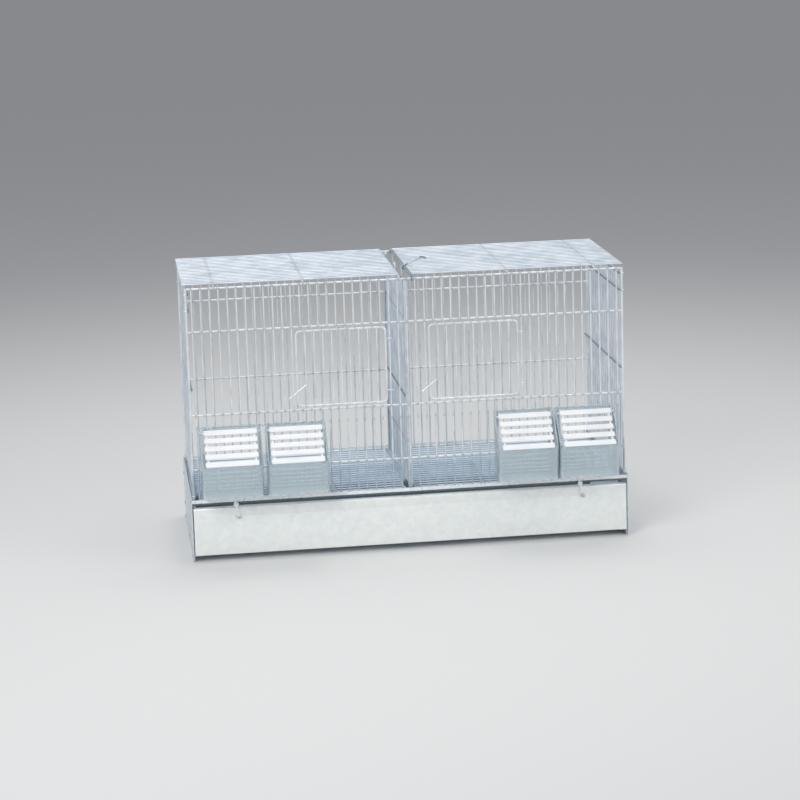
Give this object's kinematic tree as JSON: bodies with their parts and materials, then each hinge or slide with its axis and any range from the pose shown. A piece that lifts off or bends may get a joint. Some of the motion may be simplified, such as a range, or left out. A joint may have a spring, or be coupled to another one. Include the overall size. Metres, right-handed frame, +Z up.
{
  "type": "canary breeding cage",
  "caption": "Galvanised wire breeding cage with a lift-out divider, pull-out tray, swing doors and outside feeders with louvred covers.",
  "frame": {"origin": "centre of the whole object's footprint, feeders included, on the table", "axes": "+X to the right along the cage, +Y from the front with the doors and feeders to the back, +Z up"},
  "size_m": [0.6018, 0.2914, 0.3821],
  "materials": {
    "zinc_wire": "bright galvanised wire, spot welded",
    "zinc_sheet": "galvanised sheet with a faint spangle",
    "tray_sheet": "pale galvanised sheet, dull",
    "rivet_steel": "bright plated steel",
    "clear_plastic": "clear polystyrene with a blue tint",
    "white_plastic": "white moulded plastic, satin"
  },
  "bodies": {
    "cage": {"front_grille": "zinc_wire", "back_grille": "zinc_wire", "side_grille_left": "zinc_wire", "side_grille_right": "zinc_wire", "roof_grille_left": "zinc_wire", "roof_grille_right": "zinc_wire", "floor_grille_left": "zinc_wire", "floor_grille_right": "zinc_wire", "base_side_left": "zinc_sheet", "base_side_right": "zinc_sheet", "base_back": "zinc_sheet", "front_rail": "zinc_sheet", "base_rivets": "rivet_steel", "tray_runner_left": "zinc_sheet", "tray_runner_right": "zinc_sheet", "divider_guide_front": "zinc_sheet", "divider_guide_back": "zinc_sheet"},
    "tray": {"tray_pan": "tray_sheet", "tray_front": "tray_sheet"},
    "tray_catch_left": {"tray_catch_left": "rivet_steel"},
    "tray_catch_right": {"tray_catch_right": "rivet_steel"},
    "divider": {"divider_grille": "zinc_wire"},
    "divider_catch": {"divider_catch": "zinc_wire"},
    "door_left": {"door_left": "zinc_wire"},
    "door_right": {"door_right": "zinc_wire"},
    "feeder_box_1": {"feeder_box_1": "clear_plastic"},
    "feeder_cover_1": {"feeder_cover_1": "white_plastic"},
    "feeder_box_2": {"feeder_box_2": "clear_plastic"},
    "feeder_cover_2": {"feeder_cover_2": "white_plastic"},
    "feeder_box_3": {"feeder_box_3": "clear_plastic"},
    "feeder_cover_3": {"feeder_cover_3": "white_plastic"},
    "feeder_box_4": {"feeder_box_4": "clear_plastic"},
    "feeder_cover_4": {"feeder_cover_4": "white_plastic"}
  },
  "joints": [
    {"name": "tray_slide", "type": "slide", "parent": "cage", "child": "tray", "axis": [0, -1, 0], "range_m": [0, 0.25]},
    {"name": "tray_catch_left_turn", "type": "hinge", "parent": "tray", "child": "tray_catch_left", "pos_m": [-0.236, -0.1043, 0.062], "axis": [0, 1, 0], "range_deg": [0, 110]},
    {"name": "tray_catch_right_turn", "type": "hinge", "parent": "tray", "child": "tray_catch_right", "pos_m": [0.236, -0.1043, 0.062], "axis": [0, 1, 0], "range_deg": [0, 110]},
    {"name": "divider_lift", "type": "slide", "parent": "cage", "child": "divider", "axis": [0, 0, 1], "range_m": [0, 0.295]},
    {"name": "divider_catch_flip", "type": "hinge", "parent": "cage", "child": "divider_catch", "pos_m": [0.0083, -0.02146, 0.377], "axis": [0, 1, 0], "range_deg": [-110, 0]},
    {"name": "door_left_swing", "type": "hinge", "parent": "cage", "child": "door_left", "pos_m": [-0.024, -0.09975, 0.259], "axis": [0, 0, 1], "range_deg": [0, 100]},
    {"name": "door_right_swing", "type": "hinge", "parent": "cage", "child": "door_right", "pos_m": [0.156, -0.09975, 0.259], "axis": [0, 0, 1], "range_deg": [0, 100]},
    {"name": "feeder_1_slide", "type": "slide", "parent": "cage", "child": "feeder_box_1", "axis": [0, -1, 0], "range_m": [0, 0.06]},
    {"name": "feeder_1_cover_lift", "type": "hinge", "parent": "feeder_box_1", "child": "feeder_cover_1", "pos_m": [-0.244, -0.10748, 0.17865], "axis": [-1, 0, 0], "range_deg": [0, 70]},
    {"name": "feeder_2_slide", "type": "slide", "parent": "cage", "child": "feeder_box_2", "axis": [0, -1, 0], "range_m": [0, 0.06]},
    {"name": "feeder_2_cover_lift", "type": "hinge", "parent": "feeder_box_2", "child": "feeder_cover_2", "pos_m": [-0.156, -0.10748, 0.17865], "axis": [-1, 0, 0], "range_deg": [0, 70]},
    {"name": "feeder_3_slide", "type": "slide", "parent": "cage", "child": "feeder_box_3", "axis": [0, -1, 0], "range_m": [0, 0.06]},
    {"name": "feeder_3_cover_lift", "type": "hinge", "parent": "feeder_box_3", "child": "feeder_cover_3", "pos_m": [0.156, -0.10748, 0.17865], "axis": [-1, 0, 0], "range_deg": [0, 70]},
    {"name": "feeder_4_slide", "type": "slide", "parent": "cage", "child": "feeder_box_4", "axis": [0, -1, 0], "range_m": [0, 0.06]},
    {"name": "feeder_4_cover_lift", "type": "hinge", "parent": "feeder_box_4", "child": "feeder_cover_4", "pos_m": [0.24, -0.10748, 0.17865], "axis": [-1, 0, 0], "range_deg": [0, 70]}
  ]
}
